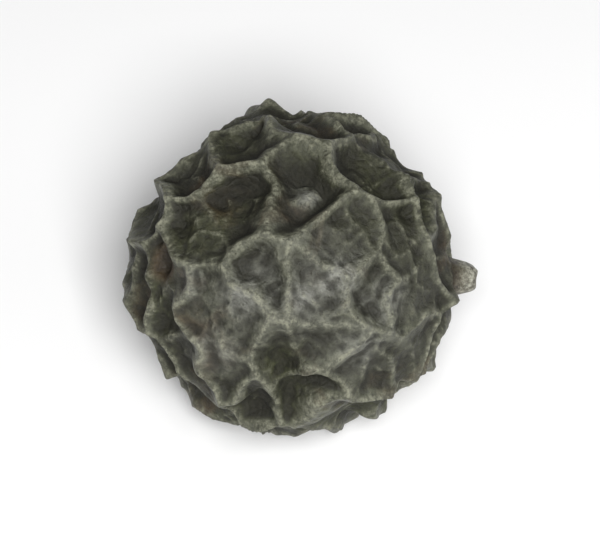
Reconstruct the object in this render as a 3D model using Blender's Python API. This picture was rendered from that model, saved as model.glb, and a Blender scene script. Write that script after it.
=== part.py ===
"""A dried black peppercorn: one small round fruit, wrinkled into a net of ridges, lying on its side.

Units are metres, +Z is up. The origin is on the surface that the corn lies on, under the middle
of its box. The fruit's axis is level and runs along X: the withered tip points to +X, and the
scar of the stalk faces -X. The side that the photograph shows looks up and towards -Y.

The skin is one surface round the middle of the fruit. In each direction it lies as far out as
its ridges reach, less the depth of the hollow there. The hollows are cells on a sphere, each
nearer to its own middle than to any other, and the ridges stand on the borders between cells.
"""
import math

import bpy
import numpy as np

MM = 0.001

# The round that the ridges reach to, as half its length along the fruit's axis, half its width
# and half its height.
REACH = np.array([2.59, 2.60, 2.60]) * MM
# How far that round swells and sinks, and the angle from one swelling to the next.
SWELL = 0.012
SWELL_ANGLE = 2.2
# Where that round is pressed flatter on its rim: right, up, and by what share of the radius.
DENTS = ((-0.77, 0.64, 0.06), (-0.79, -0.61, 0.05), (0.47, -0.88, 0.045))
DENT_ANGLE = 0.36

# The photograph looks down on the corn at this angle. Directions on the side that it shows are
# given as it shows them: how far right and how far up from the middle, as a share of the radius.
LOOK_DOWN = math.radians(55.0)
# The photograph shows nothing whose direction leans towards it by less than this cosine.
HIDDEN_BELOW = 0.30

# Each hollow on that side: right, up, its depth in millimetres, and how far its floor swells
# back up in the middle, as a share of that depth.
HOLLOWS = {
    "oval": (0.10, 0.46, 0.54, 0.45),
    "trough": (-0.32, 0.36, 0.48, 0.0),
    "shelf": (-0.58, 0.20, 0.26, 0.2),
    "below_scar": (-0.74, -0.24, 0.36, 0.1),
    "left_rim": (-0.62, -0.50, 0.30, 0.2),
    "left_cheek": (-0.46, -0.20, 0.16, 0.5),
    "lower_cheek": (-0.42, -0.60, 0.20, 0.6),
    "pit": (-0.09, -0.50, 0.52, 0.0),
    "chin": (-0.22, -0.80, 0.46, 0.0),
    "groove": (-0.12, -0.02, 0.24, 0.0),
    "middle": (0.17, -0.12, 0.17, 0.2),
    "slot": (0.44, -0.10, 0.22, 0.0),
    "below_middle": (0.14, -0.38, 0.30, 0.1),
    "right_cheek": (0.70, -0.18, 0.15, 0.3),
    "right": (0.66, 0.06, 0.18, 0.2),
    "upper_right": (0.62, 0.24, 0.26, 0.0),
    "shoulder": (0.54, 0.56, 0.44, 0.1),
    "bridge": (0.36, 0.16, 0.15, 0.3),
    "low": (0.06, -0.72, 0.42, 0.0),
    "low_right": (0.46, -0.56, 0.20, 0.2),
    "lower_right_cheek": (0.70, -0.44, 0.18, 0.2),
    "low_rim": (0.28, -0.80, 0.38, 0.0),
    "left_shoulder": (-0.58, 0.60, 0.34, 0.2),
    "crown": (-0.30, 0.76, 0.34, 0.0),
    "top": (0.10, 0.93, 0.36, 0.3),
    "right_shoulder": (0.80, 0.42, 0.34, 0.0),
    "inner_cheek": (-0.26, -0.30, 0.14, 0.3),
    "above_scar": (-0.86, 0.34, 0.36, 0.0),
    "behind_scar": (-0.92, -0.02, 0.36, 0.0),
    "right_rim": (0.88, -0.36, 0.30, 0.0),
}
# The hollows that run into each other there, with the height of the fold between them as a
# share of a full ridge.
LOW_FOLDS = {
    ("trough", "shelf"): 0.45,
    ("left_cheek", "inner_cheek"): 0.25,
    ("left_cheek", "lower_cheek"): 0.4,
    ("lower_cheek", "inner_cheek"): 0.7,
    ("pit", "below_middle"): 0.35,
    ("pit", "low"): 0.4,
    ("right_cheek", "right"): 0.3,
    ("right", "upper_right"): 0.5,
    ("below_scar", "left_rim"): 0.5,
    ("middle", "below_middle"): 0.6,
    ("middle", "bridge"): 0.6,
    ("low_right", "lower_right_cheek"): 0.4,
}

# The hollows on the other sides: the angle between their middles, and the ranges that their
# depth, their floor's swelling and the ridges' height are drawn from.
HOLLOW_ANGLE = 0.36
RANDOM_CHOICES = 6000
# How even their spacing is: no gap is left wider than the first share of it, and each new one
# clears the others by a share drawn from the range.
GAP_LEFT = 0.95
GAP_SPREAD = (0.8, 1.25)
# Directions tried to find which cells touch.
PAIR_PROBES = 20000
HOLLOW_DEPTH = np.array([0.34, 0.55]) * MM
FLOOR_SWELL = (0.0, 0.5)
RIDGE_HEIGHT = (0.55, 1.0)
# The share of ridges that sink to a low fold, and how high they then are.
FADED_SHARE = 0.22
FADED_HEIGHT = 0.45
# Half a ridge's width at about half its height, as an angle seen from the middle of the fruit,
# how round its top is, and how steeply it falls past that.
RIDGE_HALF_WIDTH = (0.050, 0.105)
RIDGE_ROUND = 2.4
RIDGE_FALL = 1.25
# How far a ridge's height and width vary along it, and the angle from one change to the next.
UNEVEN_HEIGHT = 0.16
UNEVEN_WIDTH = 0.22
UNEVEN_ANGLE = 0.5
# The cells' borders wander: how far, and the angle from one bend to the next.
WANDER = ((0.035, 0.75), (0.020, 0.30))
# Where ridges meet, this power joins them: a low one leaves a knot, a high one a flat joint.
JOIN_POWER = 5.0
KNOT_ROOM = 0.12
# How sharply one hollow's depth gives way to the next one's.
DEPTH_BLEND = 90.0
# The floor's swelling, from its middle to where it dies out.
FLOOR_SWELL_ANGLE = 0.17

# The withered tip: a knob at the fruit's free end, how much rounder its top is than a flat one,
# and how steep its sides are, with hollows set round it.
TIP_RIGHT_UP = (0.9992, -0.03)
TIP_HEIGHT = 0.27 * MM
TIP_ANGLE = 0.115
TIP_ROUND = 0.60
TIP_SIDES = 6
TIP_HOLLOWS = 6
TIP_HOLLOWS_ANGLE = 0.42
TIP_HOLLOWS_TURN = 0.5
# The scar of the stalk: a round pit with a raised lip.
SCAR_RIGHT_UP = (-0.77, 0.06)
SCAR_DEPTH = 0.36 * MM
SCAR_ANGLE = 0.10
SCAR_SIDES = 3
LIP_HEIGHT = 0.05 * MM
LIP_ANGLE = 0.16
LIP_WIDTH = 0.05
# The tip and the scar stand at the ridges' level: no hollow within the first angle, and its
# full depth past the second.
LEVEL_ANGLE = (0.06, 0.18)
# Hollows closer than this angle to one already placed are left out.
CROWDED = 0.20

# The corn lies on a small flat spot, worn off its lowest ridges: how deep, where its middle is so
# that the weight is over it, its number of corners, how far they stand from its middle, how near
# its sides come as a share of that, and how it is turned. Round it the wear rises gently.
FLAT_DEPTH = 0.26 * MM
FLAT_LEVEL = FLAT_DEPTH - REACH[2]
FLAT_MIDDLE = np.array([0.035, -0.050]) * MM
FLAT_CORNERS = 4
FLAT_REACH = 0.90 * MM
FLAT_WAIST = 0.60
FLAT_TURN = 0.4
WEAR_SLOPE = math.radians(16.0)
# The middle and the corners of the flat spot stand at the ridges' level, each with no hollow
# within the first angle and its full depth past the second.
SEAT_ANGLE = (0.14, 0.34)
CORNER_ANGLE = (0.07, 0.20)

RANDOM_SEED = 7
BALL_SUBDIVISIONS = 7
TRIANGLES = 11400
# Faces that meet at more than this are shaded with an edge.
SHARP_ANGLE = math.radians(60.0)

SKIN_COLOUR = (0.088, 0.082, 0.060, 1.0)
SKIN_ROUGHNESS = 0.6

ACROSS = np.array([1.0, 0.0, 0.0])
UP = np.array([0.0, math.sin(LOOK_DOWN), math.cos(LOOK_DOWN)])
TOWARDS = np.array([0.0, -math.cos(LOOK_DOWN), math.sin(LOOK_DOWN)])


def unit(vectors):
    """The same directions, each of length one."""
    return vectors / np.linalg.norm(vectors, axis=-1, keepdims=True)


def ease(amount):
    """A smooth step from 0 to 1 as the amount goes from 0 to 1."""
    held = np.clip(amount, 0.0, 1.0)
    return held * held * (3.0 - 2.0 * held)


def shown_at(right, up):
    """The direction from the fruit's middle to a point on the side that the photograph shows."""
    near = math.sqrt(max(0.0, 1.0 - right * right - up * up))
    return unit(right * ACROSS + up * UP + near * TOWARDS)


def angle_from(directions, middle):
    """The angle between each direction and the middle one."""
    return np.arccos(np.clip(directions @ middle, -1.0, 1.0))


def ring_round(middle, angle, count, turn):
    """Directions evenly spaced on a cone of the given half angle round the middle one."""
    side = unit(np.cross(middle, np.array([0.0, 0.0, 1.0])))
    other = np.cross(middle, side)
    steps = turn + np.arange(count) * 2.0 * np.pi / count
    outward = np.outer(np.cos(steps), side) + np.outer(np.sin(steps), other)
    return np.cos(angle) * middle + np.sin(angle) * outward


def flat_corners():
    """The corners of the flat spot, below the fruit's middle."""
    steps = FLAT_TURN + np.arange(FLAT_CORNERS) * 2.0 * np.pi / FLAT_CORNERS
    across = FLAT_MIDDLE[0] + FLAT_REACH * np.cos(steps)
    along = FLAT_MIDDLE[1] + FLAT_REACH * np.sin(steps)
    return np.stack([across, along, np.full(FLAT_CORNERS, FLAT_LEVEL)], axis=1)


TIP = shown_at(*TIP_RIGHT_UP)
SCAR = shown_at(*SCAR_RIGHT_UP)
SEAT = unit(flat_corners().mean(axis=0))
# Where the ridges' level holds: round what, and from which angle to which it gives way.
LEVELLED = (
    (SEAT, SEAT_ANGLE), (TIP, LEVEL_ANGLE), (SCAR, LEVEL_ANGLE),
    *((unit(corner), CORNER_ANGLE) for corner in flat_corners()),
)


class Ripples:
    """A smooth random height: a sum of sine waves of about one length, in all directions."""

    def __init__(self, draw, angle, waves=12, spread=0.15):
        turns = 2.0 * np.pi / angle * draw.uniform(1.0 - spread, 1.0 + spread, (waves, 1))
        self.pace = unit(draw.normal(size=(waves, 3))) * turns
        self.start = draw.uniform(0.0, 2.0 * np.pi, waves)

    def height(self, points):
        """About -2 to 2, with a mean square of one."""
        waves = np.sin(points @ self.pace.T + self.start)
        return waves.sum(axis=1) * math.sqrt(2.0 / len(self.start))


def fill_gaps(placed, choices, gap, draw):
    """Add directions to those placed, picked from the choices, until no gap is left.

    Each one goes where it just clears the others by an angle round the wanted one, drawn anew.
    """
    placed = list(placed)
    gaps = np.min([angle_from(choices, middle) for middle in placed], axis=0)
    while gaps.max() > gap * GAP_LEFT:
        clear = gaps > gap * draw.uniform(*GAP_SPREAD)
        if not clear.any():
            clear = gaps == gaps.max()
        pick = np.argmin(np.where(clear, gaps, np.inf))
        placed.append(choices[pick])
        gaps = np.minimum(gaps, angle_from(choices, choices[pick]))
    return np.array(placed)


def hollow_middles(draw):
    """The hollows that the photograph shows, those round the tip, then the rest at random."""
    placed = [shown_at(right, up) for right, up, depth, swell in HOLLOWS.values()]
    round_tip = ring_round(TIP, TIP_HOLLOWS_ANGLE, TIP_HOLLOWS, TIP_HOLLOWS_TURN)
    for middle in [SCAR, TIP, *round_tip]:
        if angle_from(np.array(placed), middle).min() > CROWDED:
            placed.append(middle)
    choices = unit(draw.normal(size=(RANDOM_CHOICES, 3)))
    return fill_gaps(placed, choices[choices @ TOWARDS < HIDDEN_BELOW], HOLLOW_ANGLE, draw)


def neighbours(middles, draw):
    """The pairs of cells that touch: those that are the two nearest to some direction."""
    anywhere = unit(draw.normal(size=(PAIR_PROBES, 3)))
    two_nearest = np.argpartition(-(anywhere @ middles.T), 2, axis=1)[:, :2]
    return np.unique(np.sort(two_nearest, axis=1), axis=0)


class Net:
    """Cells on a sphere, each nearer to its own middle than to any other, and their ridges."""

    def __init__(self, draw, middles, wander, half_width):
        self.wander = [(reach, [Ripples(draw, angle) for axis in "xyz"]) for reach, angle in wander]
        self.middles = self.bend(middles)
        self.pairs = neighbours(self.middles, draw)
        self.heights = draw.uniform(*RIDGE_HEIGHT, len(self.pairs))
        self.heights[draw.random(len(self.pairs)) < FADED_SHARE] *= FADED_HEIGHT
        self.half_widths = draw.uniform(*half_width, len(self.pairs))

    def bend(self, directions):
        """Move each direction a little by smooth random amounts, so that borders wander."""
        moved = directions.copy()
        for reach, ripples in self.wander:
            moved += reach * np.stack([ripple.height(directions) for ripple in ripples], axis=1)
        return unit(moved)

    def nearness(self, directions):
        """The cosine of each direction's angle from each cell's middle."""
        return self.bend(directions) @ self.middles.T

    def crest(self, nearness, stretch):
        """How much of a full ridge stands at each direction, from nothing to about one.

        For a pair of cells, twice the best nearness less the pair's own, over the distance of
        their middles, is the angle to the border that they share: only the border itself gives
        zero. A ridge falls off as a power of one over one plus a power of that angle over its
        half width. Where ridges meet, they are joined by the root of the sum of their powers.
        """
        best = nearness.max(axis=1)
        total = np.zeros(len(nearness))
        for (first, second), height, half_width in zip(self.pairs, self.heights, self.half_widths):
            distance = np.linalg.norm(self.middles[first] - self.middles[second])
            border = (2.0 * best - nearness[:, first] - nearness[:, second]) / distance
            across = np.maximum(0.0, border) * stretch / half_width
            total += (height * (1.0 + across ** RIDGE_ROUND) ** -RIDGE_FALL) ** JOIN_POWER
        crest = total ** (1.0 / JOIN_POWER)
        return crest / (1.0 + KNOT_ROOM * crest)


class Skin:
    """The corn's surface: how far out it lies in each direction."""

    def __init__(self, seed):
        draw = np.random.default_rng(seed)
        self.swell = Ripples(draw, SWELL_ANGLE)
        self.uneven_height = Ripples(draw, UNEVEN_ANGLE)
        self.uneven_width = Ripples(draw, UNEVEN_ANGLE)
        self.net = Net(draw, hollow_middles(draw), WANDER, RIDGE_HALF_WIDTH)
        self.depths = draw.uniform(*HOLLOW_DEPTH, len(self.net.middles))
        self.swellings = draw.uniform(*FLOOR_SWELL, len(self.net.middles))
        self.set_shown_side()

    def set_shown_side(self):
        """Give the hollows and ridges that the photograph shows the sizes that it shows."""
        shown = np.array(list(HOLLOWS.values()))
        self.depths[:len(shown)] = shown[:, 2] * MM
        self.swellings[:len(shown)] = shown[:, 3]
        self.net.heights[self.net.pairs[:, 1] < len(shown)] = 1.0
        names = list(HOLLOWS)
        for (one, other), share in LOW_FOLDS.items():
            pair = sorted((names.index(one), names.index(other)))
            self.net.heights[(self.net.pairs == pair).all(axis=1)] = share

    def hollow_depth(self, nearness, directions):
        """The depth below the ridges' reach where no ridge stands.

        Each hollow's depth gives way smoothly to the next one's. Its floor swells by a smooth
        step of the angle from its middle. At the flat spot, the tip and the scar it fades to
        nothing.
        """
        best = nearness.max(axis=1)
        share = np.exp(DEPTH_BLEND * (nearness - best[:, None]))
        share /= share.sum(axis=1, keepdims=True)
        from_middle = np.sqrt(np.maximum(0.0, 2.0 - 2.0 * best))
        risen = 1.0 - ease(from_middle / FLOOR_SWELL_ANGLE)
        depth = (share @ self.depths) * (1.0 - (share @ self.swellings) * risen)
        for middle, (start, end) in LEVELLED:
            depth *= ease((angle_from(directions, middle) - start) / (end - start))
        return depth

    def reach(self, directions):
        """How far out the ridges reach: a round that swells, sinks and is dented a little."""
        reach = 1.0 / np.linalg.norm(directions / REACH, axis=1)
        reach *= 1.0 + SWELL * self.swell.height(directions)
        for right, up, share in DENTS:
            off_middle = angle_from(directions, shown_at(right, up)) / DENT_ANGLE
            reach *= 1.0 - share * np.exp(-off_middle ** 2)
        return reach

    def radius(self, directions):
        """The distance from the fruit's middle to its skin in each direction.

        It is the ridges' reach, less the hollow's depth where no ridge stands, with the tip's
        knob and the scar's lip added and the scar's pit taken off. The knob, the pit and the
        lip are bells of the angle from their own middles.
        """
        nearness = self.net.nearness(directions)
        stretch = 1.0 / (1.0 + UNEVEN_WIDTH * self.uneven_width.height(directions))
        crest = self.net.crest(nearness, stretch)
        crest *= 1.0 + UNEVEN_HEIGHT * self.uneven_height.height(directions)
        sunk = self.hollow_depth(nearness, directions) * (1.0 - crest)
        from_tip = angle_from(directions, TIP) / TIP_ANGLE
        knob = TIP_HEIGHT * np.exp(-from_tip ** TIP_SIDES) * (1.0 - TIP_ROUND * from_tip ** 2)
        from_scar = angle_from(directions, SCAR)
        pit = SCAR_DEPTH * np.exp(-(from_scar / SCAR_ANGLE) ** SCAR_SIDES)
        lip = LIP_HEIGHT * np.exp(-((from_scar - LIP_ANGLE) / LIP_WIDTH) ** 2)
        return self.reach(directions) - sunk + knob - pit + lip


def clear_scene():
    """Remove every object, so that the script can be run again in the same file."""
    for thing in list(bpy.data.objects):
        bpy.data.objects.remove(thing, do_unlink=True)


def new_collection(name):
    """A collection of its own under the scene."""
    collection = bpy.data.collections.new(name)
    bpy.context.scene.collection.children.link(collection)
    return collection


def move_to(thing, collection):
    """Take an object out of the collections that it is in, and put it in this one."""
    for holder in list(thing.users_collection):
        holder.objects.unlink(thing)
    collection.objects.link(thing)


def skin_material():
    """Dry grey-brown skin."""
    material = bpy.data.materials.new("dried_skin")
    material.use_nodes = True
    shader = material.node_tree.nodes["Principled BSDF"]
    shader.inputs["Base Color"].default_value = SKIN_COLOUR
    shader.inputs["Roughness"].default_value = SKIN_ROUGHNESS
    shader.inputs["Metallic"].default_value = 0.0
    return material


def wrinkled_ball():
    """A fine ball whose points are moved out to the skin."""
    bpy.ops.mesh.primitive_ico_sphere_add(subdivisions=BALL_SUBDIVISIONS, radius=1.0)
    corn = bpy.context.active_object
    corn.name = "peppercorn"
    points = np.empty(3 * len(corn.data.vertices), dtype=np.float32)
    corn.data.vertices.foreach_get("co", points)
    directions = unit(points.reshape(-1, 3).astype(float))
    skin = directions * Skin(RANDOM_SEED).radius(directions)[:, None]
    corn.data.vertices.foreach_set("co", skin.astype(np.float32).ravel())
    corn.data.update()
    return corn


def thin_out(corn):
    """Spend the faces on the ridges: collapse the ball's mesh to about the wanted number."""
    thinner = corn.modifiers.new("fewer_faces", "DECIMATE")
    thinner.ratio = TRIANGLES / len(corn.data.polygons)


def worn_cup():
    """A cup that holds the corn as the wear leaves it: a wide cone that stands on its narrow end.

    The narrow end is the flat spot. Each second of its corners is drawn in, so that the corn
    stands on the others, wide apart, and the cup's wall rises gently from there.
    """
    height = 2.0 * REACH[2] + TIP_HEIGHT
    bpy.ops.mesh.primitive_cone_add(
        vertices=2 * FLAT_CORNERS,
        radius1=FLAT_REACH,
        radius2=FLAT_REACH + height / (FLAT_WAIST * math.tan(WEAR_SLOPE)),
        depth=height,
        location=(FLAT_MIDDLE[0], FLAT_MIDDLE[1], FLAT_LEVEL + height / 2.0),
        rotation=(0.0, 0.0, FLAT_TURN),
    )
    cup = bpy.context.active_object
    cup.name = "worn_cup"
    for corner in cup.data.vertices:
        turns = math.atan2(corner.co.y, corner.co.x) / math.pi * FLAT_CORNERS
        if round(turns) % 2 == 1:
            corner.co.x *= FLAT_WAIST
            corner.co.y *= FLAT_WAIST
    cup.hide_render = True
    cup.display_type = "WIRE"
    return cup


def wear_flat(corn, cup):
    """Keep only what the cup holds, which takes the lowest ridges off level."""
    cut = corn.modifiers.new("flat_spot", "BOOLEAN")
    cut.operation = "INTERSECT"
    cut.solver = "EXACT"
    cut.object = cup


def settle(corn):
    """Make the modifiers final, and put the flat spot on the surface, under the box's middle."""
    graph = bpy.context.evaluated_depsgraph_get()
    finished = bpy.data.meshes.new_from_object(corn.evaluated_get(graph))
    corn.modifiers.clear()
    corn.data = finished
    points = np.empty(3 * len(finished.vertices), dtype=np.float32)
    finished.vertices.foreach_get("co", points)
    points = points.reshape(-1, 3)
    middle = (points.min(axis=0) + points.max(axis=0)) / 2.0
    points -= np.array([middle[0], middle[1], FLAT_LEVEL], dtype=np.float32)
    finished.vertices.foreach_set("co", points.ravel())
    finished.shade_smooth()
    finished.set_sharp_from_angle(angle=SHARP_ANGLE)
    finished.update()


def main():
    """Build the corn."""
    clear_scene()
    pieces = new_collection("black_peppercorn")
    cutters = new_collection("cutters")
    corn = wrinkled_ball()
    move_to(corn, pieces)
    cup = worn_cup()
    move_to(cup, cutters)
    thin_out(corn)
    wear_flat(corn, cup)
    settle(corn)
    corn.data.materials.clear()
    corn.data.materials.append(skin_material())


main()
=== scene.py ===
"""The looks of a dried black peppercorn: its wrinkled skin, and a pale studio round it.

Sizes are in metres, +Z is up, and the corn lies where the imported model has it. Its skin is one
surface round the middle of the fruit. In each direction it lies as far out as its ridges reach,
less the depth of the hollow there, with finer folds and crinkles on top.
"""
import math

import bpy
import numpy as np
from bpy.props import FloatProperty, FloatVectorProperty, IntProperty, PointerProperty
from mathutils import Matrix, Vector


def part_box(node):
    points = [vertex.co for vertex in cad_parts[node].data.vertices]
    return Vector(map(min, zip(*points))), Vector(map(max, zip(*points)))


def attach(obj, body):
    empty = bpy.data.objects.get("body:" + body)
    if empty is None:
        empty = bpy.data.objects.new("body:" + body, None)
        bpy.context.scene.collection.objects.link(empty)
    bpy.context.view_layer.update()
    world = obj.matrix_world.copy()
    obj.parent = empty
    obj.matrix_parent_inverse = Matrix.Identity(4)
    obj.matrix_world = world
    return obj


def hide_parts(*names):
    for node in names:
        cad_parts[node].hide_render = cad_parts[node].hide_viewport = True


bl_info = {
    "name": "Black Peppercorn",
    "version": (1, 0, 0),
    "blender": (4, 5, 0),
    "location": "3D View > Sidebar > Peppercorn",
    "description": "Makes a dried black peppercorn with a net of ridges, and a studio for it",
    "category": "Add Mesh",
}

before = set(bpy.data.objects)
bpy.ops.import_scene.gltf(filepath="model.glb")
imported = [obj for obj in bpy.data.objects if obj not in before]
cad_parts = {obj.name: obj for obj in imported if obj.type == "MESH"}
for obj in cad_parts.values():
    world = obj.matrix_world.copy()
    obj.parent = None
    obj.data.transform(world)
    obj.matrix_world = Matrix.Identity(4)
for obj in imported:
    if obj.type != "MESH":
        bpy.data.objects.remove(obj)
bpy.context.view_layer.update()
NODE = "peppercorn"

MM = 0.001

# The camera looks down on the corn at this angle. Directions on the side that it shows are
# given as it shows them: how far right and how far up from the middle, as a share of the radius.
LOOK_DOWN = math.radians(55.0)
# It shows nothing whose direction leans towards it by less than this cosine.
HIDDEN_BELOW = 0.30
# The camera's right, its up and the way to it.
ACROSS = np.array([1.0, 0.0, 0.0])
UP = np.array([0.0, math.sin(LOOK_DOWN), math.cos(LOOK_DOWN)])
TOWARDS = np.array([0.0, -math.cos(LOOK_DOWN), math.sin(LOOK_DOWN)])

# The round that the ridges reach to, as half its length along the fruit's axis, half its width
# and half its height.
REACH = (2.59 * MM, 2.60 * MM, 2.60 * MM)
# How far that round swells and sinks, and the angle from one swelling to the next.
SWELL = 0.012
SWELL_ANGLE = 2.2
# Where that round is pressed flatter on its rim: right, up, and by what share of the radius.
# Each dent spreads over the angle.
DENTS = ((-0.77, 0.64, 0.06), (-0.79, -0.61, 0.05), (0.47, -0.88, 0.045))
DENT_ANGLE = 0.36

# Each hollow on the side that the camera shows: right, up, its depth in millimetres, and how far
# its floor swells back up in the middle, as a share of that depth.
HOLLOWS = {
    "oval": (0.10, 0.46, 0.54, 0.45),
    "trough": (-0.32, 0.36, 0.48, 0.0),
    "shelf": (-0.58, 0.20, 0.26, 0.2),
    "below_scar": (-0.74, -0.24, 0.36, 0.1),
    "left_rim": (-0.62, -0.50, 0.30, 0.2),
    "left_cheek": (-0.46, -0.20, 0.16, 0.5),
    "lower_cheek": (-0.42, -0.60, 0.20, 0.6),
    "pit": (-0.09, -0.50, 0.52, 0.0),
    "chin": (-0.22, -0.80, 0.46, 0.0),
    "groove": (-0.12, -0.02, 0.24, 0.0),
    "middle": (0.17, -0.12, 0.17, 0.2),
    "slot": (0.44, -0.10, 0.22, 0.0),
    "below_middle": (0.14, -0.38, 0.30, 0.1),
    "right_cheek": (0.70, -0.18, 0.15, 0.3),
    "right": (0.66, 0.06, 0.18, 0.2),
    "upper_right": (0.62, 0.24, 0.26, 0.0),
    "shoulder": (0.54, 0.56, 0.44, 0.1),
    "bridge": (0.36, 0.16, 0.15, 0.3),
    "low": (0.06, -0.72, 0.42, 0.0),
    "low_right": (0.46, -0.56, 0.20, 0.2),
    "lower_right_cheek": (0.70, -0.44, 0.18, 0.2),
    "low_rim": (0.28, -0.80, 0.38, 0.0),
    "left_shoulder": (-0.58, 0.60, 0.34, 0.2),
    "crown": (-0.30, 0.76, 0.34, 0.0),
    "top": (0.10, 0.93, 0.36, 0.3),
    "right_shoulder": (0.80, 0.42, 0.34, 0.0),
    "inner_cheek": (-0.26, -0.30, 0.14, 0.3),
    "above_scar": (-0.86, 0.34, 0.36, 0.0),
    "behind_scar": (-0.92, -0.02, 0.36, 0.0),
    "right_rim": (0.88, -0.36, 0.30, 0.0),
}
# The hollows that run into each other there, with the height of the fold between them as a
# share of a full ridge.
LOW_FOLDS = {
    ("trough", "shelf"): 0.45,
    ("left_cheek", "inner_cheek"): 0.25,
    ("left_cheek", "lower_cheek"): 0.4,
    ("lower_cheek", "inner_cheek"): 0.7,
    ("pit", "below_middle"): 0.35,
    ("pit", "low"): 0.4,
    ("right_cheek", "right"): 0.3,
    ("right", "upper_right"): 0.5,
    ("below_scar", "left_rim"): 0.5,
    ("middle", "below_middle"): 0.6,
    ("middle", "bridge"): 0.6,
    ("low_right", "lower_right_cheek"): 0.4,
}

# The hollows on the other sides: the angle between their middles, and the ranges that their
# depth and their floor's swelling are drawn from.
HOLLOW_ANGLE = 0.36
HOLLOW_DEPTH = (0.34 * MM, 0.55 * MM)
FLOOR_SWELL = (0.0, 0.5)
# The angle from a floor's middle at which its swelling has died out.
FLOOR_SWELL_ANGLE = 0.17
# How sharply one hollow's depth gives way to the next one's.
DEPTH_BLEND = 90.0
# Hollows closer than this angle to one already placed are left out.
CROWDED = 0.20
# Cells are placed on this many random directions. No gap between them is left wider than the
# first share of their spacing, and each new one clears the others by a share of it drawn from
# the range.
RANDOM_CHOICES = 6000
GAP_LEFT = 0.95
GAP_SPREAD = (0.8, 1.25)
# How many random directions are tried to find which cells touch.
PAIR_PROBES = 20000

# The range that the ridges' height is drawn from, as a share of a full one. Some of them, by the
# next share, fade to this much of their height.
RIDGE_HEIGHT = (0.55, 1.0)
FADED_SHARE = 0.22
FADED_HEIGHT = 0.45
# Half a ridge's width at about half its height, as an angle seen from the middle of the fruit,
# how round its top is, and how steeply it falls past that.
RIDGE_HALF_WIDTH = (0.050, 0.105)
RIDGE_ROUND = 2.4
RIDGE_FALL = 1.25
# How far a ridge's height and width vary along it, and the angle from one change to the next.
UNEVEN_HEIGHT = 0.16
UNEVEN_WIDTH = 0.22
UNEVEN_ANGLE = 0.5
# The cells' borders wander: how far, and the angle from one bend to the next.
WANDER = ((0.035, 0.75), (0.020, 0.30))
# Where ridges meet, this power joins them: a low one leaves a knot, a high one a flat joint.
# All are then eased down by the next share, so that a knot stays below the ridges' reach.
JOIN_POWER = 5.0
KNOT_ROOM = 0.12

# The withered tip: where the knob at the fruit's free end stands, its height, half its width as
# an angle, how much rounder its top is than a flat one, and how steep its sides are. Round it
# stand hollows: their number, their angle from the tip, and how they are turned round it.
TIP_RIGHT_UP = (0.9992, -0.03)
TIP_HEIGHT = 0.27 * MM
TIP_ANGLE = 0.115
TIP_ROUND = 0.60
TIP_SIDES = 6
TIP_HOLLOWS = 6
TIP_HOLLOWS_ANGLE = 0.42
TIP_HOLLOWS_TURN = 0.5
# The scar of the stalk: where it is, the pit's depth, half its width as an angle and how steep
# its sides are, and the lip's height, its angle from the middle and half its width.
SCAR_RIGHT_UP = (-0.77, 0.06)
SCAR_DEPTH = 0.36 * MM
SCAR_ANGLE = 0.10
SCAR_SIDES = 3
LIP_HEIGHT = 0.05 * MM
LIP_ANGLE = 0.16
LIP_WIDTH = 0.05
# The tip and the scar stand at the ridges' level: no hollow within the first angle, and its
# full depth past the second.
LEVEL_ANGLE = (0.06, 0.18)

# The corn lies on a small flat spot, worn off its lowest ridges: how deep, how high that is from
# the fruit's middle, where its own middle is so that the weight is over it, its number of
# corners, how far they stand from its middle, how near its sides come as a share of that, and
# how it is turned. Round it the wear rises at the slope.
FLAT_DEPTH = 0.26 * MM
FLAT_LEVEL = FLAT_DEPTH - REACH[2]
FLAT_MIDDLE = (0.035 * MM, -0.050 * MM)
FLAT_CORNERS = 4
FLAT_REACH = 0.90 * MM
FLAT_WAIST = 0.60
FLAT_TURN = 0.4
WEAR_SLOPE = math.radians(16.0)
# The middle and the corners of the flat spot stand at the ridges' level, each with no hollow
# within the first angle and its full depth past the second.
SEAT_ANGLE = (0.14, 0.34)
CORNER_ANGLE = (0.07, 0.20)

# What the random draws of the main net and of the finer folds start from.
RANDOM_SEED = 7
FINE_SEED = 21

# The finer folds of the skin: the spacing of a second net of cells, half its folds' width and
# how far they wander, their height, the share of it that they are sunk by so that they don't
# swell the skin, and how much weaker they are on a full ridge.
FOLD_CELL_ANGLE = 0.165
FOLD_HALF_WIDTH = (0.018, 0.040)
FOLD_WANDER = ((0.022, 0.22),)
FOLD_HEIGHT = 0.050 * MM
FOLD_LEVEL = 0.35
FOLD_CALM = 0.6
# The crisp edge along each ridge's top: half its width as an angle, how steeply it falls off,
# and its height.
EDGE_HALF_WIDTH = 0.016
EDGE_FALL = 1.6
EDGE_HEIGHT = 0.026 * MM
# How many times each point takes the mean of its neighbours, which rounds the ridges' tops.
ROUNDING = 3
# The gathers and crinkles of the dry skin: their height, and the waves that make them.
GATHER_HEIGHT = 0.010 * MM
GATHERS = {"angle": 0.17, "waves": 40, "spread": 0.25}
CRINKLE_HEIGHT = 0.004 * MM
CRINKLES = {"angle": 0.070, "waves": 60, "spread": 0.25}
# The withered tip's top: the dimple in its middle, how wide that is as a share of the tip, the
# lobes round it, their number, and how much weaker the folds and gathers are there.
DIMPLE_DEPTH = 0.070 * MM
DIMPLE_WIDTH = 0.40
LOBE_HEIGHT = 0.065 * MM
TIP_LOBES = 3
TIP_CALM = 0.6

# Where pale patches of painted highlight lie on the side that the camera shows, standing in for
# glints of the light: right, up, the angle that each spreads over, and how strong it is.
PAINTED_HIGHLIGHT_PATCHES = (
    (0.04, -0.08, 0.36, 0.34), (-0.28, -0.13, 0.12, 0.9), (0.29, -0.04, 0.11, 1.0),
    (0.56, -0.16, 0.14, 0.7), (0.40, -0.44, 0.14, 0.6), (-0.44, -0.44, 0.13, 0.6),
    (0.06, -0.14, 0.09, 0.7), (-0.58, -0.04, 0.09, 0.9), (0.11, 0.49, 0.08, 1.0),
)

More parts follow.
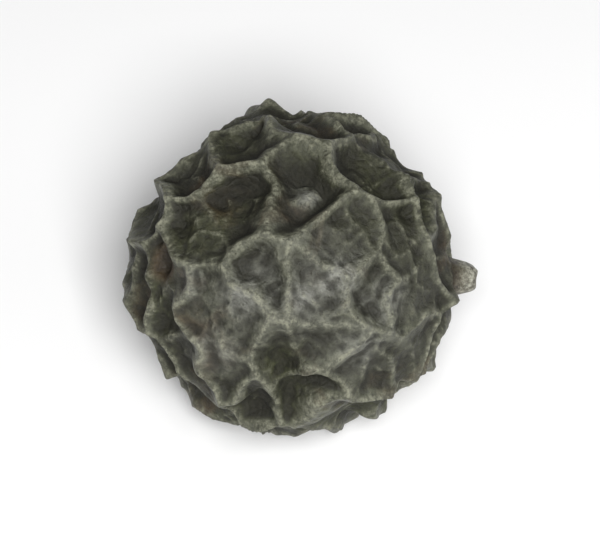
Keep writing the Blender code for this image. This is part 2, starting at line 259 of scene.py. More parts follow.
# Where the tip and the scar have their own colours: an angle from their middle, and how
# steeply the colour falls off there.
TIP_STAIN = (0.85 * TIP_ANGLE, 2)
SCAR_STAIN = (1.15 * SCAR_ANGLE, 4)
# What the colours count as a bulge of the skin: how many times its form is smoothed to compare
# it with, and the height that counts as one. Bulges come out paler and sunken parts darker, the
# darkening partly as painted shade.
WIDE_BULGE = (90, 0.24 * MM)
FINE_BULGE = (6, 0.030 * MM)

# How far the skin may reach past its solid, as a share of the solid's size.
SPARE_ROOM = 0.03

# The ball's six faces each have this many steps along a side. Two of their points become one
# where they agree to one part in the second number.
FACE_STEPS = 125
MERGE_PARTS = 1e6


def unit(vectors):
    """The same directions, each of length one."""
    return vectors / np.linalg.norm(vectors, axis=-1, keepdims=True)


def ease(amount):
    """A smooth step from 0 to 1 as the amount goes from 0 to 1."""
    held = np.clip(amount, 0.0, 1.0)
    return held * held * (3.0 - 2.0 * held)


def shown_at(right, up):
    """The direction from the fruit's middle to a point on the side that the camera shows."""
    near = math.sqrt(max(0.0, 1.0 - right * right - up * up))
    return unit(right * ACROSS + up * UP + near * TOWARDS)


def angle_from(directions, middle):
    """The angle between each direction and the middle one."""
    return np.arccos(np.clip(directions @ middle, -1.0, 1.0))


def bell(directions, middle, angle, sides=2):
    """A bell over the middle direction: one there, and falling off on all sides.

    It is e to the power of minus r, where r is the angle from the middle over the given angle,
    itself raised to the power of sides. The higher that is, the steeper the bell's sides are.
    """
    return np.exp(-(angle_from(directions, middle) / angle) ** sides)


def ring_round(middle, angle, count, turn):
    """Directions evenly spaced on a cone of the given half angle round the middle one."""
    side = unit(np.cross(middle, np.array([0.0, 0.0, 1.0])))
    other = np.cross(middle, side)
    steps = turn + np.arange(count) * 2.0 * np.pi / count
    outward = np.outer(np.cos(steps), side) + np.outer(np.sin(steps), other)
    return np.cos(angle) * middle + np.sin(angle) * outward


def flat_corners():
    """The corners of the flat spot, below the fruit's middle."""
    steps = FLAT_TURN + np.arange(FLAT_CORNERS) * 2.0 * np.pi / FLAT_CORNERS
    across = FLAT_MIDDLE[0] + FLAT_REACH * np.cos(steps)
    along = FLAT_MIDDLE[1] + FLAT_REACH * np.sin(steps)
    return np.stack([across, along, np.full(FLAT_CORNERS, FLAT_LEVEL)], axis=1)


TIP = shown_at(*TIP_RIGHT_UP)
SCAR = shown_at(*SCAR_RIGHT_UP)
SEAT = unit(flat_corners().mean(axis=0))
# Where the ridges' level holds: round what, and from which angle to which it gives way.
LEVELLED = (
    (SEAT, SEAT_ANGLE), (TIP, LEVEL_ANGLE), (SCAR, LEVEL_ANGLE),
    *((unit(corner), CORNER_ANGLE) for corner in flat_corners()),
)


class Ripples:
    """A smooth random height: a sum of sine waves of about one length, in all directions.

    A wave's length is the angle, made shorter or longer by as much as the spread.
    """

    def __init__(self, draw, angle, waves=12, spread=0.15):
        turns = 2.0 * np.pi / angle * draw.uniform(1.0 - spread, 1.0 + spread, (waves, 1))
        self.pace = unit(draw.normal(size=(waves, 3))) * turns
        self.start = draw.uniform(0.0, 2.0 * np.pi, waves)

    def height(self, points):
        """About -2 to 2, with a mean square of one."""
        waves = np.sin(points @ self.pace.T + self.start)
        return waves.sum(axis=1) * math.sqrt(2.0 / len(self.start))


def fill_gaps(placed, choices, gap, draw):
    """Add directions to those placed, picked from the choices, until no gap is left.

    Each one goes where it just clears the others by an angle round the wanted one, drawn anew.
    """
    placed = list(placed)
    gaps = np.min([angle_from(choices, middle) for middle in placed], axis=0)
    while gaps.max() > gap * GAP_LEFT:
        clear = gaps > gap * draw.uniform(*GAP_SPREAD)
        if not clear.any():
            clear = gaps == gaps.max()
        pick = np.argmin(np.where(clear, gaps, np.inf))
        placed.append(choices[pick])
        gaps = np.minimum(gaps, angle_from(choices, choices[pick]))
    return np.array(placed)


def hollow_middles(draw):
    """The hollows that the photograph shows, those round the tip, then the rest at random."""
    placed = [shown_at(right, up) for right, up, *_ in HOLLOWS.values()]
    round_tip = ring_round(TIP, TIP_HOLLOWS_ANGLE, TIP_HOLLOWS, TIP_HOLLOWS_TURN)
    for middle in [SCAR, TIP, *round_tip]:
        if angle_from(np.array(placed), middle).min() > CROWDED:
            placed.append(middle)
    choices = unit(draw.normal(size=(RANDOM_CHOICES, 3)))
    return fill_gaps(placed, choices[choices @ TOWARDS < HIDDEN_BELOW], HOLLOW_ANGLE, draw)


def neighbours(middles, draw):
    """The pairs of cells that touch: those that are the two nearest to some direction."""
    anywhere = unit(draw.normal(size=(PAIR_PROBES, 3)))
    two_nearest = np.argpartition(-(anywhere @ middles.T), 2, axis=1)[:, :2]
    return np.unique(np.sort(two_nearest, axis=1), axis=0)


class Net:
    """Cells on a sphere, each nearer to its own middle than to any other, and their ridges."""

    def __init__(self, draw, middles, wander, half_width):
        self.wander = [
            (reach, [Ripples(draw, angle) for axis in "xyz"]) for reach, angle in wander
        ]
        self.middles = self.bend(middles)
        self.pairs = neighbours(self.middles, draw)
        self.heights = draw.uniform(*RIDGE_HEIGHT, len(self.pairs))
        self.heights[draw.random(len(self.pairs)) < FADED_SHARE] *= FADED_HEIGHT
        self.half_widths = draw.uniform(*half_width, len(self.pairs))

    def bend(self, directions):
        """Move each direction a little by smooth random amounts, so that borders wander."""
        moved = directions.copy()
        for reach, ripples in self.wander:
            moved += reach * np.stack([ripple.height(directions) for ripple in ripples], axis=1)
        return unit(moved)

    def nearness(self, directions):
        """The cosine of each direction's angle from each cell's middle."""
        return self.bend(directions) @ self.middles.T

    def crest(self, nearness, stretch):
        """How much of a full ridge, and of its crisp edge, stands at each direction.

        For a pair of cells, twice the best nearness less the pair's own, over the distance of
        their middles, is the angle to the border that they share: only the border itself gives
        zero. A ridge falls off as a power of one over one plus a power of that angle, stretched,
        over its half width. Where ridges meet, the root of the sum of their powers joins them.
        The edge is the same with a narrow bell in place of the ridge. Both go from nothing to
        about one.
        """
        best = nearness.max(axis=1)
        ridges = np.zeros(len(nearness))
        edges = np.zeros(len(nearness))
        for (first, second), height, half_width in zip(self.pairs, self.heights, self.half_widths):
            distance = np.linalg.norm(self.middles[first] - self.middles[second])
            behind = 2.0 * best - nearness[:, first] - nearness[:, second]
            border = np.maximum(0.0, behind / distance)
            ridge = (1.0 + (border * stretch / half_width) ** RIDGE_ROUND) ** -RIDGE_FALL
            edge = np.exp(-(border / EDGE_HALF_WIDTH) ** EDGE_FALL)
            ridges += (height * ridge) ** JOIN_POWER
            edges += (height * edge) ** JOIN_POWER
        crest = ridges ** (1.0 / JOIN_POWER)
        return crest / (1.0 + KNOT_ROOM * crest), edges ** (1.0 / JOIN_POWER)


class Skin:
    """The corn's surface: how far out it lies in each direction."""

    def __init__(self, seed):
        draw = np.random.default_rng(seed)
        self.swell = Ripples(draw, SWELL_ANGLE)
        self.uneven_height = Ripples(draw, UNEVEN_ANGLE)
        self.uneven_width = Ripples(draw, UNEVEN_ANGLE)
        self.net = Net(draw, hollow_middles(draw), WANDER, RIDGE_HALF_WIDTH)
        self.depths = draw.uniform(*HOLLOW_DEPTH, len(self.net.middles))
        self.swellings = draw.uniform(*FLOOR_SWELL, len(self.net.middles))
        self.set_shown_side()

    def set_shown_side(self):
        """Give the hollows and ridges that the photograph shows the sizes that it shows."""
        shown = np.array(list(HOLLOWS.values()))
        self.depths[:len(shown)] = shown[:, 2] * MM
        self.swellings[:len(shown)] = shown[:, 3]
        self.net.heights[self.net.pairs[:, 1] < len(shown)] = 1.0
        names = list(HOLLOWS)
        for (one, other), share in LOW_FOLDS.items():
            pair = sorted((names.index(one), names.index(other)))
            self.net.heights[(self.net.pairs == pair).all(axis=1)] = share

    def hollow_depth(self, nearness, directions):
        """The depth below the ridges' reach where no ridge stands.

        Each hollow's depth gives way smoothly to the next one's. Its floor swells by a smooth
        step of the angle from its middle. At the flat spot, the tip and the scar it fades to
        nothing.
        """
        best = nearness.max(axis=1)
        share = np.exp(DEPTH_BLEND * (nearness - best[:, None]))
        share /= share.sum(axis=1, keepdims=True)
        from_middle = np.sqrt(np.maximum(0.0, 2.0 - 2.0 * best))
        risen = 1.0 - ease(from_middle / FLOOR_SWELL_ANGLE)
        depth = (share @ self.depths) * (1.0 - (share @ self.swellings) * risen)
        for middle, (start, end) in LEVELLED:
            depth *= ease((angle_from(directions, middle) - start) / (end - start))
        return depth

    def reach(self, directions):
        """How far out the ridges reach: a round that swells, sinks and is dented a little."""
        reach = 1.0 / np.linalg.norm(directions / np.array(REACH), axis=1)
        reach *= 1.0 + SWELL * self.swell.height(directions)
        for right, up, share in DENTS:
            reach *= 1.0 - share * bell(directions, shown_at(right, up), DENT_ANGLE)
        return reach

    def form(self, directions):
        """How far out the skin lies, and what ridge, edge and hollow there are.

        The distance is the ridges' reach, less the hollow's depth where no ridge stands, with
        the tip's knob and the scar's lip added and the scar's pit taken off. The knob, the pit
        and the lip are bells of the angle from their own middles.
        """
        nearness = self.net.nearness(directions)
        stretch = 1.0 / (1.0 + UNEVEN_WIDTH * self.uneven_width.height(directions))
        crest, edge = self.net.crest(nearness, stretch)
        crest *= 1.0 + UNEVEN_HEIGHT * self.uneven_height.height(directions)
        sunk = self.hollow_depth(nearness, directions) * (1.0 - crest)
        top = 1.0 - TIP_ROUND * (angle_from(directions, TIP) / TIP_ANGLE) ** 2
        knob = TIP_HEIGHT * top * bell(directions, TIP, TIP_ANGLE, TIP_SIDES)
        pit = SCAR_DEPTH * bell(directions, SCAR, SCAR_ANGLE, SCAR_SIDES)
        off_lip = angle_from(directions, SCAR) - LIP_ANGLE
        lip = LIP_HEIGHT * np.exp(-(off_lip / LIP_WIDTH) ** 2)
        return self.reach(directions) - sunk + knob - pit + lip, crest, edge, sunk


class FineSkin:
    """The finer folds, gathers and crinkles of the dry skin, and the shape of its tip's top."""

    def __init__(self, seed):
        draw = np.random.default_rng(seed)
        choices = unit(draw.normal(size=(RANDOM_CHOICES, 3)))
        cells = fill_gaps(choices[:1], choices, FOLD_CELL_ANGLE, draw)
        self.net = Net(draw, cells, FOLD_WANDER, FOLD_HALF_WIDTH)
        self.gathers = Ripples(draw, **GATHERS)
        self.crinkles = Ripples(draw, **CRINKLES)

    def height(self, directions, crest, fold_height):
        """The folds, weaker on the big ridges, plus the gathers, weaker on the tip, and crinkles.

        The tip's top has a dimple, a bell of the angle from its middle, and lobes, a wave round
        it that grows with the square of that angle and ends where the knob does.
        """
        folds = self.net.crest(self.net.nearness(directions), 1.0)[0] - FOLD_LEVEL
        raised = fold_height * folds * (1.0 - FOLD_CALM * np.clip(crest, 0.0, 1.0))
        raised += GATHER_HEIGHT * self.gathers.height(directions)
        on_tip = bell(directions, TIP, TIP_ANGLE, TIP_SIDES)
        raised *= 1.0 - TIP_CALM * on_tip
        turn = np.arctan2(directions @ TOWARDS, directions @ UP)
        lobes = np.cos(TIP_LOBES * turn + np.sin(turn))
        lobes *= (angle_from(directions, TIP) / TIP_ANGLE) ** 2
        dimple = bell(directions, TIP, DIMPLE_WIDTH * TIP_ANGLE)
        raised += on_tip * (LOBE_HEIGHT * lobes - DIMPLE_DEPTH * dimple)
        return raised + CRINKLE_HEIGHT * self.crinkles.height(directions)


def worn_level(points):
    """The height that the wear leaves below each point: a flat star, and a gentle rise round it.

    The star's outline runs straight from each corner to the middle of a side. A point's measure
    is how many times larger the star would have to be to reach it, and past one the height
    grows evenly with that measure.
    """
    half_turn = np.pi / FLAT_CORNERS
    across, along = points[:, 0] - FLAT_MIDDLE[0], points[:, 1] - FLAT_MIDDLE[1]
    turned = np.arctan2(along, across) - FLAT_TURN
    from_corner = np.abs((turned + half_turn) % (2.0 * half_turn) - half_turn)
    away = np.hypot(across, along) / FLAT_REACH
    side_share = away * np.sin(from_corner) / (FLAT_WAIST * math.sin(half_turn))
    corner_share = away * np.cos(from_corner) - side_share * FLAT_WAIST * math.cos(half_turn)
    outside = np.maximum(0.0, side_share + corner_share - 1.0)
    return FLAT_LEVEL + outside * FLAT_REACH * FLAT_WAIST * math.tan(WEAR_SLOPE)


def smoothed(values, quads, rounds):
    """The values after each point has taken the mean of its neighbours, so many times over."""
    size = len(values)
    one = quads.ravel()
    other = np.roll(quads, -1, axis=1).ravel()
    count = np.bincount(one, minlength=size) + np.bincount(other, minlength=size)
    for _ in range(rounds):
        total = np.bincount(one, values[other], size) + np.bincount(other, values[one], size)
        values = total / count
    return values


def bulge(distance, quads, rounds, height):
    """How far the skin stands out of its smoothed form, one half where it is level with it."""
    return 0.5 + (distance - smoothed(distance, quads, rounds)) / height


def ball_directions(steps):
    """Directions over a ball in six square grids, and the four corners of each of its faces.

    Each grid has two parameters, both from -45 to 45 degrees. Their tangents are a point's
    place on one side of a cube, and the direction from the cube's middle to that point is
    kept. The grids share their edges, so equal directions become one point.
    """
    slope = np.tan(np.linspace(-np.pi / 4.0, np.pi / 4.0, steps + 1))
    one, other = np.meshgrid(slope, slope, indexing="ij")
    flat = np.ones_like(one)
    sides = [
        (flat, one, other), (-flat, other, one), (other, flat, one),
        (one, -flat, other), (one, other, flat), (other, one, -flat),
    ]
    points = np.concatenate([np.stack(side, axis=-1).reshape(-1, 3) for side in sides])
    row, column = np.meshgrid(np.arange(steps), np.arange(steps), indexing="ij")
    corner = (row * (steps + 1) + column).ravel()
    quad = np.stack([corner, corner + steps + 1, corner + steps + 2, corner + 1], axis=1)
    quads = np.concatenate([quad + side * (steps + 1) ** 2 for side in range(len(sides))])
    rounded = np.round(points * MERGE_PARTS).astype(np.int64)
    _, first, merged = np.unique(rounded, axis=0, return_index=True, return_inverse=True)
    return unit(points[first]), merged.ravel()[quads]


def surface_mesh(name, points, quads, measures):
    """A smooth mesh of the points and quads, with each measure as an attribute of its points."""
    mesh = bpy.data.meshes.new(name)
    mesh.vertices.add(len(points))
    mesh.vertices.foreach_set("co", points.astype(np.float32).ravel())
    mesh.loops.add(quads.size)
    mesh.loops.foreach_set("vertex_index", quads.astype(np.int32).ravel())
    mesh.polygons.add(len(quads))
    starts = np.arange(0, quads.size, quads.shape[1], dtype=np.int32)
    mesh.polygons.foreach_set("loop_start", starts)
    mesh.update(calc_edges=True)
    for label, values in measures.items():
        layer = mesh.attributes.new(label, "FLOAT", "POINT")
        layer.data.foreach_set("value", values.astype(np.float32))
    mesh.shade_smooth()
    return mesh


# The soft random patterns that the skin's colours and relief follow: the size of their swellings,
# and the noise's detail, roughness and distortion.
PATTERNS = {
    "dust": (0.30 * MM, 7.0, 0.68, 0.0),
    "grain": (0.060 * MM, 6.0, 0.65, 0.0),
    "flecks": (0.11 * MM, 8.0, 0.78, 0.0),
    "patches": (1.5 * MM, 3.0, 0.55, 0.0),
    "warmth": (1.0 * MM, 3.0, 0.55, 0.6),
}
# The skin's colour by its depth, from a ridge's top to the floor of a deep hollow, and how far
# its bulges and the dust shift that depth. The darkening into the hollows is partly the skin's own
# darker tone and partly painted shade.
COLOUR_AND_SHADE_BY_DEPTH = ((0.00, "ridge"), (0.16, "slope"), (0.78, "hollow"))
DEPTH_SHIFT = 0.55
# The colours laid over it, from the first to the last. Each has the name of its colour and its
# masks, which are multiplied. A mask is the name of the value that it follows, and then stops of
# that value and the mask's strength, or no stops where the value itself is the mask.
LAYERS = {
    "olive hollows": (
        "olive", ("patches", (0.46, 0.0), (0.62, 0.75)), ("sunk", (0.10, 0.25), (0.60, 1.0)),
    ),
    "brown patches": ("brown", ("warmth", (0.56, 0.0), (0.72, 0.55))),
    # Painted highlight: pale grey patches where the light would glint, broken up by the dust noise.
    "grey painted highlight": ("bloom", ("bloom",), ("dust", (0.36, 0.22), (0.60, 0.88))),
    "worn edges": (
        "edge", ("edge",), ("flecks", (0.44, 0.12), (0.58, 1.0)),
        ("patches", (0.36, 0.95), (0.58, 0.35)),
    ),
    # Painted shade: the darkest colour laid into creases, where the skin sinks below its smoothed
    # form.
    "painted shade in creases": ("hollow", ("fine_bulge", (0.10, 0.75), (0.50, 0.0))),
    "worn folds": (
        "edge", ("fine_bulge", (0.52, 0.0), (0.95, 0.55)), ("flecks", (0.46, 0.1), (0.60, 1.0)),
    ),
    "brown scar": ("brown", ("scar",)),
    # Painted shade: the darkest colour laid on the floor of the scar's pit.
    "painted shade on the floor of the scar": ("hollow", ("scar", (0.50, 0.0), (0.95, 0.8))),
    "brown foot of the tip": ("brown", ("tip", (0.02, 0.0), (0.25, 0.38))),
    "corky tip": (
        "tip", ("tip", (0.15, 0.0), (0.50, 1.0), (0.84, 0.9), (0.95, 0.2)),
        ("flecks", (0.42, 0.15), (0.56, 1.0)),
    ),
}
# How much darker all of it is between the flecks, and where the grain leaves dark specks.
SHADE_BY_FLECKS = ((0.36, 0.50), (0.62, 1.0))
SPECKS_BY_GRAIN = ((0.32, 0.65), (0.47, 0.0))
# The skin's roughness on the ridges, how much it grows with the depth and changes with the
# grain, and its specular level.
ROUGHNESS = 0.44
ROUGHER_IN_HOLLOWS = 0.40
ROUGHER_BY_GRAIN = 0.45
SPECULAR_LEVEL = 0.42
# The cracks in its relief: the size of the cells between them, how far from a crack the skin
# still rises, as a share of that size, and how strongly they count beside the grain. The last
# is the height of the grain.
CRACK_SIZE = 0.14 * MM
CRACK_REACH = 0.25
CRACK_STRENGTH = 1.6
GRAIN_HEIGHT = 0.024 * MM

# Blender's Mix node has inputs for each kind of data. For colours it uses these: how far the
# second colour covers the first, and the two colours. Its result is the output with this place.
MIX_INPUTS = (0, 6, 7)
MIX_OUTPUT = 2


def add_node(tree, kind, **values):
    """A new node of the tree, with its properties set."""
    node = tree.nodes.new(kind)
    for name, value in values.items():
        setattr(node, name, value)
    return node


def set_inputs(node, **values):
    """Set the node's inputs, named with _ for a space."""
    for name, value in values.items():
        node.inputs[name.replace("_", " ")].default_value = value


def feed(tree, sockets, values):
    """Give each socket its value, or link it to the value where that is another node's output."""
    for socket, value in zip(sockets, values):
        if isinstance(value, bpy.types.NodeSocket):
            tree.links.new(value, socket)
        else:
            socket.default_value = value


def measure(tree, name):
    """The node that reads one of the mesh's own attributes."""
    return add_node(tree, "ShaderNodeAttribute", attribute_name=name).outputs["Fac"]


def ramp(tree, factor, stops):
    """Turn a value into a colour or a mask by stops of place and colour or strength."""
    node = add_node(tree, "ShaderNodeValToRGB")
    elements = node.color_ramp.elements
    while len(elements) < len(stops):
        elements.new(stops[len(elements)][0])
    for element, (place, colour) in zip(elements, stops):
        element.position = place
        element.color = colour if isinstance(colour, tuple) else (colour, colour, colour, 1.0)
    tree.links.new(factor, node.inputs["Fac"])
    return node.outputs["Color"]


def mix_colours(tree, factor, below, above, label, blend="MIX"):
    """Lay one colour over another, as far as the factor says."""
    node = add_node(tree, "ShaderNodeMix", data_type="RGBA", blend_type=blend, label=label)
    feed(tree, [node.inputs[place] for place in MIX_INPUTS], (factor, below, above))
    return node.outputs[MIX_OUTPUT]


def calculate(tree, operation, first, second):
    """One step of arithmetic on two sockets or numbers."""
    node = add_node(tree, "ShaderNodeMath", operation=operation)
    feed(tree, node.inputs, (first, second))
    return node.outputs[0]


def times(tree, value, share):
    """A value times a share, or times another value."""
    return calculate(tree, "MULTIPLY", value, share)


def swing(tree, value, share):
    """A share of how far a value lies above or below one half."""
    return times(tree, calculate(tree, "SUBTRACT", value, 0.5), share)


def noise(tree, place, size, detail, roughness, distortion):
    """Soft random values from 0 to 1, one swelling to the next being about the size in metres."""
    node = add_node(tree, "ShaderNodeTexNoise")
    set_inputs(node, Scale=1.0 / size, Detail=detail, Roughness=roughness, Distortion=distortion)
    tree.links.new(place, node.inputs["Vector"])
    return node.outputs["Fac"]


def cracks(tree, place, size):
    """The distance to the borders of small cells of about the size in metres, 0 on a border."""
    node = add_node(tree, "ShaderNodeTexVoronoi", feature="DISTANCE_TO_EDGE")
    set_inputs(node, Scale=1.0 / size, Randomness=1.0)
    tree.links.new(place, node.inputs["Vector"])
    return node.outputs["Distance"]


def whole(colour):
    """A colour with full opacity."""
    return (colour[0], colour[1], colour[2], 1.0)


def cover(tree, values, masks):
    """The product of a layer's masks, each a value or a ramp of it."""
    factors = [ramp(tree, values[name], stops) if stops else values[name] for name, *stops in masks]
    product = factors[0]
    for factor in factors[1:]:
        product = times(tree, product, factor)
    return product


def skin_colour(tree, values, colours):
    """The colour by depth, darker into the hollows partly as painted shade, with the layers over
    it, the shade of the flecks and the specks.
    """
    depth = values["sunk"]
    for name in ("wide_bulge", "dust"):
        depth = calculate(tree, "SUBTRACT", depth, swing(tree, values[name], DEPTH_SHIFT))
    stops = [(place, whole(getattr(colours, name))) for place, name in COLOUR_AND_SHADE_BY_DEPTH]
    # Painted shade, in part: the colour darkens towards the floors of the hollows.
    skin = ramp(tree, depth, stops)
    for label, (name, *masks) in LAYERS.items():
        above = whole(getattr(colours, name))
        skin = mix_colours(tree, cover(tree, values, masks), skin, above, label)
    shade = ramp(tree, values["flecks"], SHADE_BY_FLECKS)
    skin = mix_colours(tree, 1.0, skin, shade, "shade of the flecks", "MULTIPLY")
    specks = ramp(tree, values["grain"], SPECKS_BY_GRAIN)
    return mix_colours(tree, specks, skin, whole(colours.hollow), "dark specks")


def skin_roughness(tree, values):
    """The roughness of the ridges, more in the hollows, and changed by the grain."""
    matt = calculate(tree, "ADD", ROUGHNESS, times(tree, values["sunk"], ROUGHER_IN_HOLLOWS))
    return calculate(tree, "ADD", matt, swing(tree, values["grain"], ROUGHER_BY_GRAIN))


def skin_relief(tree, values, place, height):
    """A bump of small cells with cracks between them, plus the grain and the flecks."""
    cells = calculate(tree, "MINIMUM", cracks(tree, place, CRACK_SIZE), CRACK_REACH)
    relief = calculate(tree, "ADD", times(tree, cells, CRACK_STRENGTH), values["grain"])
    relief = calculate(tree, "ADD", relief, values["flecks"])
    bump = add_node(tree, "ShaderNodeBump")
    set_inputs(bump, Strength=1.0, Distance=height)
    tree.links.new(relief, bump.inputs["Height"])
    return bump.outputs["Normal"]


def dried_skin(colours, grain_height, measures):
    """The corn's one material: hollows darkened partly by painted shade, paler ridges, patches,
    painted highlights, painted shade in creases and in the scar's pit, the tip and the scar.

    It follows the mesh's own attributes with the names of the measures.
    """
    material = bpy.data.materials.new("dried_skin")
    material.use_nodes = True
    tree = material.node_tree
    place = add_node(tree, "ShaderNodeTexCoord").outputs["Object"]
    values = {name: measure(tree, name) for name in measures}
    for name, pattern in PATTERNS.items():
        values[name] = noise(tree, place, *pattern)
    shader = tree.nodes["Principled BSDF"]
    tree.links.new(skin_colour(tree, values, colours), shader.inputs["Base Color"])
    tree.links.new(skin_roughness(tree, values), shader.inputs["Roughness"])
    shader.inputs["Specular IOR Level"].default_value = SPECULAR_LEVEL
    relief = skin_relief(tree, values, place, grain_height)
    tree.links.new(relief, shader.inputs["Normal"])
    return material


class PeppercornShape(bpy.types.PropertyGroup):
    """The sizes of the corn's skin that a user would change."""

    face_steps: IntProperty(
        name="Face steps",
        description="How finely each of the ball's six faces is divided",
        default=FACE_STEPS, min=8, max=128,
    )
    fold_height: FloatProperty(
        name="Fold height",
        description="Height of the fine folds on the ridges and in the hollows",
        default=FOLD_HEIGHT, min=0.0, unit="LENGTH", precision=6,
    )
    edge_height: FloatProperty(
        name="Edge height",
        description="Height of the crisp edge along the top of each ridge",
        default=EDGE_HEIGHT, min=0.0, unit="LENGTH", precision=6,
    )
    grain_height: FloatProperty(
        name="Grain height",
        description="Height of the skin's finest grain",
        default=GRAIN_HEIGHT, min=0.0, unit="LENGTH", precision=6,
    )


class PeppercornColours(bpy.types.PropertyGroup):
    """The colours of the corn's skin and of the studio."""

    # The darkest colour: the skin's own dark tone deep in the hollows together with painted shade
    # there; it is also laid as painted shade in creases and in the scar's pit, and makes the dark
    # specks.
    hollow: FloatVectorProperty(
        name="Hollows", description="The darkest skin, deep in the hollows",
        default=(0.017, 0.016, 0.009), size=3, subtype="COLOR", min=0.0, max=1.0,
    )
    slope: FloatVectorProperty(
        name="Slopes", description="The skin between hollows and ridges",
        default=(0.052, 0.053, 0.032), size=3, subtype="COLOR", min=0.0, max=1.0,
    )
    ridge: FloatVectorProperty(
        name="Ridges", description="The skin along the broad tops of the ridges",
        default=(0.100, 0.103, 0.069), size=3, subtype="COLOR", min=0.0, max=1.0,
    )
    edge: FloatVectorProperty(
        name="Edges", description="The pale worn skin along crisp edges",
        default=(0.280, 0.280, 0.205), size=3, subtype="COLOR", min=0.0, max=1.0,
    )
    # Painted highlight: the pale grey laid on the skin where the light would glint.
    bloom: FloatVectorProperty(
        name="Bloom", description="The grey painted highlight that lies on parts of the skin",
        default=(0.330, 0.332, 0.295), size=3, subtype="COLOR", min=0.0, max=1.0,
    )
    olive: FloatVectorProperty(
        name="Olive patches", description="The greenish tint of some hollows",
        default=(0.056, 0.061, 0.022), size=3, subtype="COLOR", min=0.0, max=1.0,
    )
    brown: FloatVectorProperty(
        name="Brown patches", description="The warm brown of the scar and some slopes",
        default=(0.090, 0.050, 0.020), size=3, subtype="COLOR", min=0.0, max=1.0,
    )
    tip: FloatVectorProperty(
        name="Withered tip", description="The pale corky knob",
        default=(0.46, 0.455, 0.375), size=3, subtype="COLOR", min=0.0, max=1.0,
    )
    floor: FloatVectorProperty(
        name="Floor", description="The plain pale floor",
        default=(0.93, 0.93, 0.93), size=3, subtype="COLOR", min=0.0, max=1.0,
    )


def bloom(directions):
    """How much painted highlight lies on the skin: the patches' bells, added up to one at most."""
    patches = [
        strength * bell(directions, shown_at(right, up), angle)
        for right, up, angle, strength in PAINTED_HIGHLIGHT_PATCHES
    ]
    return np.clip(sum(patches), 0.0, 1.0)


def underside(low, high):
    """The middle of the underside of a box with these lowest and highest corners."""
    return np.array([(low[0] + high[0]) / 2.0, (low[1] + high[1]) / 2.0, low[2]])


def settled(points):
    """The points, moved to the place of the solid that they stand for."""
    low, high = (np.array(corner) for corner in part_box(NODE))
    points = points + underside(low, high) - underside(points.min(axis=0), points.max(axis=0))
    spare = SPARE_ROOM * (high - low)
    if (points < low - spare).any() or (points > high + spare).any():
        raise ValueError("the skin reaches past the solid that it stands for")
    return points


def add_object(scene, name, data):
    """A new object in the scene."""
    thing = bpy.data.objects.new(name, data)
    scene.collection.objects.link(thing)
    return thing


class PEPPERCORN_OT_corn(bpy.types.Operator):
    """Make the corn's finely wrinkled skin in place of the plain solid"""

    bl_idname = "peppercorn.corn"
    bl_label = "Make the Corn"

    def execute(self, context):
        scene = context.scene
        shape = scene.peppercorn_shape
        directions, quads = ball_directions(shape.face_steps)
        distance, crest, edge, sunk = Skin(RANDOM_SEED).form(directions)
        distance = smoothed(distance, quads, ROUNDING) + shape.edge_height * edge
        distance += FineSkin(FINE_SEED).height(directions, crest, shape.fold_height)
        points = directions * distance[:, None]
        points[:, 2] = np.maximum(points[:, 2], worn_level(points))
        measures = {
            "edge": edge,
            "bloom": bloom(directions),
            "sunk": sunk / HOLLOW_DEPTH[1],
            "wide_bulge": bulge(distance, quads, *WIDE_BULGE),
            "fine_bulge": bulge(distance, quads, *FINE_BULGE),
            "tip": bell(directions, TIP, *TIP_STAIN),
            "scar": bell(directions, SCAR, *SCAR_STAIN),
        }
        mesh = surface_mesh("corn", settled(points), quads, measures)
        mesh.materials.append(dried_skin(scene.peppercorn_colours, shape.grain_height, measures))
        corn = add_object(scene, "corn", mesh)
        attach(corn, "root")
        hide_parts(NODE)
        return {"FINISHED"}


# The camera's lens, its sensor's width, and the width of its view at the corn's middle, with how
# near and how far it sees.
LENS = 0.300
SENSOR = 0.036
VIEW_WIDTH = 9.0 * MM
NEAREST = 1.0 * MM
FARTHEST = 2.0
# Each light's turn to the right of the camera and its height, in degrees, its distance from the
# corn's middle, its size, and its power in watts.
LIGHTS = {
    "front": (8.0, 53.0, 60.0 * MM, 24.0 * MM, 0.045),
    "side": (80.0, 35.0, 60.0 * MM, 36.0 * MM, 0.004),
    "back": (-150.0, 35.0, 60.0 * MM, 40.0 * MM, 0.003),
}
SKY_COLOUR = (1.0, 1.0, 1.0)
SKY_STRENGTH = 0.16
# The floor's size, how far it lies below the corn, and its roughness.
FLOOR_SIZE = 400.0 * MM
FLOOR_GAP = 0.01 * MM
FLOOR_ROUGHNESS = 0.9


def from_angles(turn, height):
    """The direction at a turn to the right of the camera's side and a height, in degrees."""
    turn, height = math.radians(turn), math.radians(height)
    level = math.cos(height)
    return Vector((math.sin(turn) * level, -math.cos(turn) * level, math.sin(height)))


def look_at(thing, place, target):
    """Put a camera or a light at a place, facing the target."""
    thing.location = place
    thing.rotation_euler = (target - place).to_track_quat("-Z", "Y").to_euler()


def pale_floor(scene, level):
    """A plain square floor at the level."""
    half = FLOOR_SIZE / 2.0
    mesh = bpy.data.meshes.new("floor")
    corners = [(-half, -half), (half, -half), (half, half), (-half, half)]
    mesh.from_pydata([(*corner, level) for corner in corners], [], [(0, 1, 2, 3)])
    paper = bpy.data.materials.new("pale_floor")
    paper.use_nodes = True
    set_inputs(
        paper.node_tree.nodes["Principled BSDF"],
        Base_Color=whole(scene.peppercorn_colours.floor), Roughness=FLOOR_ROUGHNESS,
    )
    mesh.materials.append(paper)
    return add_object(scene, "floor", mesh)


def soft_lights(scene, target):
    """The broad lights round the target, and a plain sky."""
    for name, (turn, height, distance, size, power) in LIGHTS.items():
        light = bpy.data.lights.new(name, "AREA")
        light.size = size
        light.energy = power
        place = target + from_angles(turn, height) * distance
        look_at(add_object(scene, name, light), place, target)
    sky = bpy.data.worlds.new("sky")
    sky.use_nodes = True
    background = sky.node_tree.nodes["Background"]
    set_inputs(background, Color=whole(SKY_COLOUR), Strength=SKY_STRENGTH)
    scene.world = sky


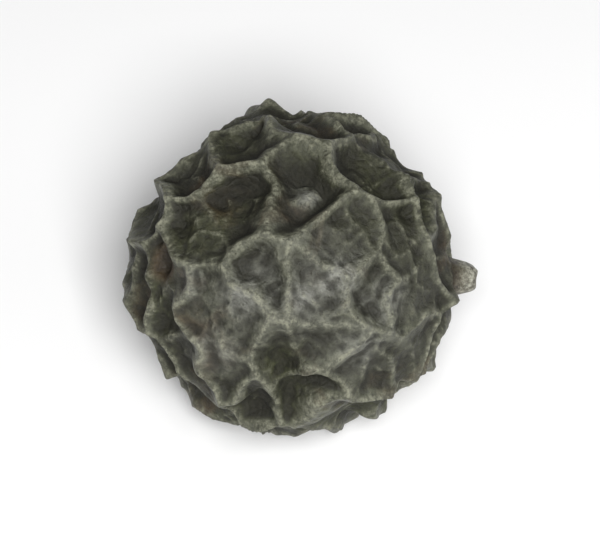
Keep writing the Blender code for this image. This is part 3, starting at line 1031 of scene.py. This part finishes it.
def photograph_camera(scene, target):
    """A camera at the photograph's viewing angle, close to the target."""
    lens = bpy.data.cameras.new("camera")
    lens.lens = LENS / MM
    lens.sensor_width = SENSOR / MM
    lens.clip_start = NEAREST
    lens.clip_end = FARTHEST
    camera = add_object(scene, "camera", lens)
    look_at(camera, target + Vector(TOWARDS) * (VIEW_WIDTH * LENS / SENSOR), target)
    return camera


class PEPPERCORN_OT_stage(bpy.types.Operator):
    """Set up the pale floor, the soft lights and the camera"""

    bl_idname = "peppercorn.stage"
    bl_label = "Set the Stage"

    def execute(self, context):
        scene = context.scene
        low, high = (Vector(corner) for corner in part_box(NODE))
        middle = (low + high) / 2.0
        floor = pale_floor(scene, low.z - FLOOR_GAP)
        soft_lights(scene, middle)
        scene.camera = photograph_camera(scene, middle)
        scene.view_settings.view_transform = "Standard"
        return {"FINISHED"}


class PEPPERCORN_PT_panel(bpy.types.Panel):
    """The corn's sizes and colours, and what makes it."""

    bl_label = "Black Peppercorn"
    bl_space_type = "VIEW_3D"
    bl_region_type = "UI"
    bl_category = "Peppercorn"

    def draw(self, context):
        scene = context.scene
        for group in (scene.peppercorn_shape, scene.peppercorn_colours):
            for name in group.__annotations__:
                self.layout.prop(group, name)
        self.layout.operator(PEPPERCORN_OT_corn.bl_idname)
        self.layout.operator(PEPPERCORN_OT_stage.bl_idname)


CLASSES = (
    PeppercornShape,
    PeppercornColours,
    PEPPERCORN_OT_corn,
    PEPPERCORN_OT_stage,
    PEPPERCORN_PT_panel,
)


def register():
    """Add the classes and the scene's properties."""
    for kind in CLASSES:
        bpy.utils.register_class(kind)
    bpy.types.Scene.peppercorn_shape = PointerProperty(type=PeppercornShape)
    bpy.types.Scene.peppercorn_colours = PointerProperty(type=PeppercornColours)


def unregister():
    """Remove the scene's properties and the classes."""
    del bpy.types.Scene.peppercorn_colours
    del bpy.types.Scene.peppercorn_shape
    for kind in reversed(CLASSES):
        bpy.utils.unregister_class(kind)


def main():
    """Make the corn and its stage."""
    register()
    bpy.ops.peppercorn.corn()
    bpy.ops.peppercorn.stage()


if __name__ == "__main__":
    main()
